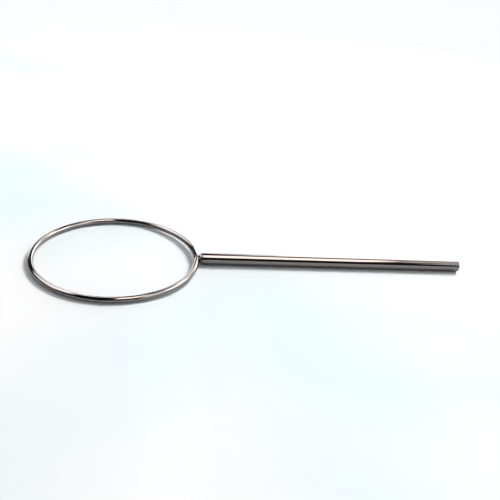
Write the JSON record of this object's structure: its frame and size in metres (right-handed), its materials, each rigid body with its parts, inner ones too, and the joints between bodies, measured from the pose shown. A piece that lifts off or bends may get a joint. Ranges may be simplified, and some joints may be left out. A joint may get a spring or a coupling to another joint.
{
  "type": "inoculating loop",
  "caption": "Round wire loop welded flat on the end of a plain straight bar handle, for picking up and spreading cultures.",
  "frame": {"origin": "half way along the whole tool, on the handle's centreline seen from above, at the level of the handle's lowest line", "axes": "+X along the handle from the ring to the free end, +Z square to the ring's plane, +Y across the ring"},
  "size_m": [0.2216, 0.083, 0.006],
  "materials": {
    "drawn_wire": "polished",
    "polished_bar": "polished",
    "weld_metal": "satin"
  },
  "bodies": {
    "root": {"loop_wire": "drawn_wire", "handle_rod": "polished_bar", "neck_weld": "weld_metal"}
  },
  "joints": []
}
